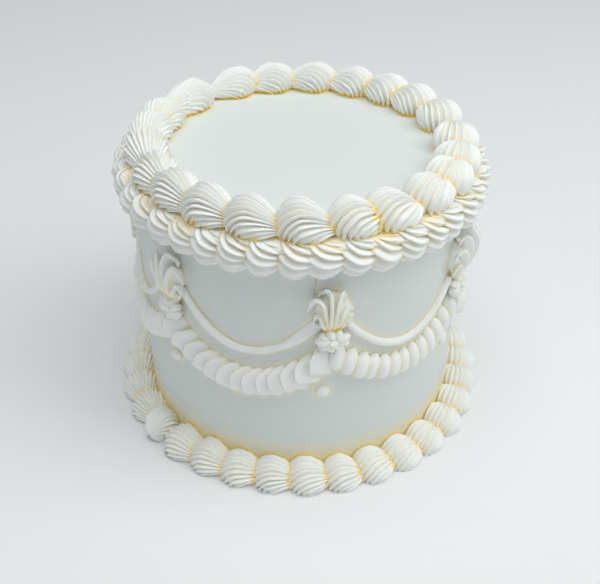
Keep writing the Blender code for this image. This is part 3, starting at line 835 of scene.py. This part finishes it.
def makeRuffle(index, values):
    draw = np.random.default_rng(180 + index)
    count = values["petals"]
    scale = values["scales"][index]
    start = jointAzimuth(index)
    end = jointAzimuth(index + 1)
    pitch = math.radians((end - start - 2.0 * values["clear"]) / count) * wall
    rounds, rings = values["round"], values["rings"]
    grid = np.arange(rounds * rings).reshape(rounds, rings)
    shell = np.stack((grid[:-1, :-1], grid[1:, :-1], grid[1:, 1:], grid[:-1, 1:]), -1)
    back = np.stack((grid[-1, :-1], grid[0, :-1], grid[0, 1:], grid[-1, 1:]), -1)
    quads = np.concatenate((shell.reshape(-1, 4), back))
    caps = np.array([[grid[side, tip], grid[side + 1, tip], grid[0, tip]]
                     for tip in (0, -1) for side in range(1, rounds - 1)])
    piping = Piping()
    for petal in range(count):
        share = (petal + 0.5) / count + give(draw, values["shareGive"]) / count
        azimuth, level, slope = swagPoint(share, start, end, values["clear"],
                                          (values["level"], values["level"]),
                                          values["low"] - joints["drops"][index])
        lean = values["lean"] * slope * math.sin(math.pi * share) + give(draw, values["leanGive"])
        height = values["height"] * (1.0 + give(draw, values["heightGive"]))
        width = pitch * values["overlap"] * (1.0 + give(draw, values["widthGive"]))
        depth = values["depth"] * (1.0 + give(draw, values["depthGive"]))
        across, along, stand = petalShape(values, scale, width, height, depth)
        spot = across * np.cos(lean) - along * np.sin(lean)
        rise = across * np.sin(lean) + along * np.cos(lean)
        points = onRing(azimuth + np.degrees(spot / wall), wall - values["sunk"] + stand,
                        level + rise)
        piping.add(points.reshape(-1, 3), quads, caps, 0.0)
    return piping.build(f"ruffleSwag{index + 1}", f"ruffle_swag_{index + 1}",
                        wallCrease(values["crease"]), values["creaseGlow"])


swagPieces = []
for index in range(swagCount):
    swagPieces.append(makeSideShell(index, sideShells))
    swagPieces.append(makeRosette(index, rosettes))
    swagPieces.append(makeDot(index, dots))
    swagPieces.append(makeString(index, strings))
    swagPieces.append(makeRuffle(index, ruffles))

markBody(body, [topBorder, baseBorder, *swagPieces], wallPaintedGlow)
print("smooth icing marked")


# Icing materials

class Wire:
    # Wraps one socket, so that sums of sockets read as plain sums.
    def __init__(self, recipe, socket):
        self.recipe = recipe
        self.socket = socket

    def math(self, operation, first, second):
        return self.recipe.node("ShaderNodeMath", {"operation": operation}, {0: first, 1: second})

    def beside(self, output):
        # Another output of the same node.
        return Wire(self.recipe, self.socket.node.outputs[output])

    def __add__(self, other):
        return self.math("ADD", self, other)

    def __radd__(self, other):
        return self.math("ADD", other, self)

    def __sub__(self, other):
        return self.math("SUBTRACT", self, other)

    def __rsub__(self, other):
        return self.math("SUBTRACT", other, self)

    def __mul__(self, other):
        return self.math("MULTIPLY", self, other)

    def __rmul__(self, other):
        return self.math("MULTIPLY", other, self)

    def __truediv__(self, other):
        return self.math("DIVIDE", self, other)

    def __rtruediv__(self, other):
        return self.math("DIVIDE", other, self)


class Recipe:
    # One material's nodes.
    def __init__(self, name):
        self.material = bpy.data.materials.new(name)
        self.material.use_nodes = True
        self.tree = self.material.node_tree
        self.shader = self.tree.nodes["Principled BSDF"]

    def put(self, target, value):
        if isinstance(value, Wire):
            self.tree.links.new(value.socket, target)
        else:
            target.default_value = value

    def dress(self, values):
        # Fills the shader's own sockets.
        for key, value in values.items():
            self.put(self.shader.inputs[key], value)

    def node(self, kind, settings, values, output=0):
        made = self.tree.nodes.new(kind)
        for key, value in settings.items():
            setattr(made, key, value)
        for key, value in values.items():
            self.put(made.inputs[key], value)
        return Wire(self, made.outputs[output])

    def mixed(self, share, first, second):
        return self.node("ShaderNodeMix", {"data_type": "RGBA"},
                         {"Factor": share, "A": first, "B": second}, 2)

    def mark(self, name):
        return self.node("ShaderNodeAttribute", {"attribute_name": name}, {}, "Fac")

    def noise(self, scale, detail, spot):
        return self.node("ShaderNodeTexNoise", {},
                         {"Vector": spot, "Scale": scale, "Detail": detail})

    def between(self, value, low, high):
        return self.node("ShaderNodeMapRange", {"interpolation_type": "SMOOTHSTEP"},
                         {"Value": value, "From Min": low, "From Max": high})


# Painted light: the grooves and a halo round the creases are painted cream, and deep creases, where
# icing meets icing, painted ochre with a painted glow, for shade and light scattered in the icing.
icing = {"paintedCream": (0.985, 0.915, 0.67, 1.0), "paintedOchre": (0.96, 0.72, 0.15, 1.0),
         "glow": (0.110, 0.078, 0.002, 1.0), "black": (0.0, 0.0, 0.0, 1.0),
         "clouds": 55.0, "speckles": 900.0, "grooveBand": (0.35, 1.0), "halo": 0.55,
         "haloBand": (0.10, 0.70), "deepEnd": 1.05, "roughness": 0.50, "roughSpeckle": 0.12,
         "specular": 0.35, "bump": 0.0006,
         "holes": 170.0, "holeBand": (0.12, 0.07), "holeClouds": (0.57, 0.61), "holeShade": 0.45}
# The smooth and piped icing are one cream: the piped one is painted lighter, to lift the shade among
# its ridges.
smoothLook = {"name": "smoothIcing", "pale": (0.772, 0.819, 0.800, 1.0), "groove": 0.70,
              "crease": 0.50, "creaseStart": 0.60, "pits": 0.10}
pipedLook = {"name": "pipedIcing", "pale": (0.945, 0.968, 0.945, 1.0), "groove": 0.55,
             "crease": 0.90, "creaseStart": 0.62, "pits": 0.14}

# Flaws of the smooth wall: a hairline crack and a faint ring left by a tip
flaws = {"crackX": 0.0062, "crackLow": 0.1115, "crackHigh": 0.1262, "crackWide": 0.0004,
         "crackWander": 0.004, "crackTint": 0.75, "ringX": 0.0150, "ringZ": 0.1232,
         "ringRadius": 0.0016, "ringWide": 0.0006, "ringSquash": 0.6, "ringTint": 0.6,
         "depth": 0.8, "colour": (0.52, 0.50, 0.40, 1.0)}


def flawMask(recipe, spot, cloud):
    x = recipe.node("ShaderNodeSeparateXYZ", {}, {"Vector": spot}, "X")
    z = x.beside("Z")
    front = recipe.between(x.beside("Y"), 0.0, -0.02)
    low, high = flaws["crackLow"], flaws["crackHigh"]
    aside = x - flaws["crackX"] + (cloud - 0.5) * flaws["crackWander"]
    crack = recipe.between(aside * aside, flaws["crackWide"] ** 2, 0.0)
    crack = crack * recipe.between(z, low, low + 0.004) * recipe.between(z, high, high - 0.001)
    ringX = x - flaws["ringX"]
    ringZ = z - flaws["ringZ"]
    radius = flaws["ringRadius"]
    away = (ringX * ringX * flaws["ringSquash"] + ringZ * ringZ) / radius - radius
    ring = recipe.between(away * away, flaws["ringWide"] ** 2, 0.0) * cloud * flaws["ringTint"]
    return front * (crack * flaws["crackTint"] + ring)


def icingMaterial(look, flawed=False):
    recipe = Recipe(look["name"])
    spot = recipe.node("ShaderNodeTexCoord", {}, {}, "Object")
    cloud = recipe.noise(icing["clouds"], 3.0, spot)
    speckle = recipe.noise(icing["speckles"], 2.0, spot)
    groove = recipe.between(recipe.mark("groove"), *icing["grooveBand"])
    crease = recipe.mark("crease")
    # Painted cream glow: full in the grooves, and as a halo round the creases.
    paintedCreamShare = groove * look["groove"] * (0.55 + cloud * 0.9)
    paintedCreamShare = paintedCreamShare + recipe.between(crease, *icing["haloBand"]) * icing["halo"]
    # Painted ochre shade deep in the creases, where icing meets icing.
    deep = recipe.between(crease, look["creaseStart"], icing["deepEnd"]) * look["crease"]
    deep = deep * (0.15 + cloud * 1.6)
    colour = recipe.mixed(paintedCreamShare, look["pale"], icing["paintedCream"])
    colour = recipe.mixed(deep, colour, icing["paintedOchre"])
    # Small pits in the icing, painted ochre as the shade inside them.
    cell = recipe.node("ShaderNodeTexVoronoi", {}, {"Vector": spot, "Scale": icing["holes"]},
                       "Distance")
    hole = (recipe.between(cell, *icing["holeBand"])
            * recipe.between(cloud, *icing["holeClouds"]))
    colour = recipe.mixed(hole * icing["holeShade"], colour, icing["paintedOchre"])
    height = cloud * 0.6 + speckle * 0.4 - hole * 1.2
    if flawed:
        mask = flawMask(recipe, spot, cloud)
        colour = recipe.mixed(mask, colour, flaws["colour"])
        height = height - mask * flaws["depth"]
    bump = recipe.node("ShaderNodeBump", {}, {"Height": height, "Strength": look["pits"],
                                              "Distance": icing["bump"]}, "Normal")
    # The emission is a painted glow in the deep creases, standing in for light scattered in the
    # icing.
    recipe.dress({"Base Color": colour, "Normal": bump, "Emission Strength": 1.0,
                  "Emission Color": recipe.mixed(deep, icing["black"], icing["glow"]),
                  "Roughness": icing["roughness"] + speckle * icing["roughSpeckle"],
                  "Specular IOR Level": icing["specular"]})
    return recipe.material


body.data.materials.append(icingMaterial(smoothLook, True))
pipedMaterial = icingMaterial(pipedLook)
for piece in [topBorder, rimBorder, baseBorder, *swagPieces]:
    piece.data.materials.append(pipedMaterial)
print("materials made")


# Floor, light and camera

studio = {"floorSize": 6.0, "floorColour": (0.90, 0.92, 0.93, 1.0), "floorRoughness": 0.7,
          "worldColour": (0.97, 0.99, 1.0, 1.0), "worldLight": 0.36, "aim": (0.0, 0.0, 0.08),
          # name, azimuth, elevation, distance, size, watts and colour of each soft lamp
          "lamps": (("key", 75.0, 52.0, 1.5, 0.9, 6.7, (1.0, 1.0, 0.99)),
                    ("above", -10.0, 83.0, 1.6, 1.2, 9.2, (1.0, 1.0, 1.0))),
          "lens": 57.5, "sensor": 36.0, "place": (-0.000114, -0.4322, 0.3715), "tilt": 53.66,
          "roll": 0.013}


def makeFloor(values):
    half = values["floorSize"] / 2.0
    mesh = bpy.data.meshes.new("floor")
    mesh.from_pydata([(-half, -half, 0.0), (half, -half, 0.0), (half, half, 0.0),
                      (-half, half, 0.0)], [], [(0, 1, 2, 3)])
    floor = bpy.data.objects.new("floor", mesh)
    bpy.context.scene.collection.objects.link(floor)
    recipe = Recipe("floor")
    recipe.dress({"Base Color": values["floorColour"], "Roughness": values["floorRoughness"]})
    floor.data.materials.append(recipe.material)


def makeLights(values):
    world = bpy.data.worlds.new("studio")
    world.use_nodes = True
    sky = world.node_tree.nodes["Background"]
    sky.inputs["Color"].default_value = values["worldColour"]
    sky.inputs["Strength"].default_value = values["worldLight"]
    bpy.context.scene.world = world
    for name, azimuth, elevation, distance, size, power, colour in values["lamps"]:
        light = bpy.data.lights.new(name, "AREA")
        light.size = size
        light.energy = power
        light.color = colour
        rise = math.radians(elevation)
        stand = bpy.data.objects.new(name, light)
        stand.location = Vector(onRing(azimuth, distance * math.cos(rise), distance * math.sin(rise)))
        aim = Vector(values["aim"]) - stand.location
        stand.rotation_euler = aim.to_track_quat("-Z", "Y").to_euler()
        bpy.context.scene.collection.objects.link(stand)


def makeCamera(values):
    lens = bpy.data.cameras.new("camera")
    lens.lens = values["lens"]
    lens.sensor_width = values["sensor"]
    camera = bpy.data.objects.new("camera", lens)
    camera.location = values["place"]
    tilt = Matrix.Rotation(math.radians(values["tilt"]), 3, "X")
    camera.rotation_euler = (tilt @ Matrix.Rotation(values["roll"], 3, "Z")).to_euler()
    bpy.context.scene.collection.objects.link(camera)
    bpy.context.scene.camera = camera
    bpy.context.scene.view_settings.view_transform = "Standard"


makeFloor(studio)
makeLights(studio)
makeCamera(studio)
print("studio ready")
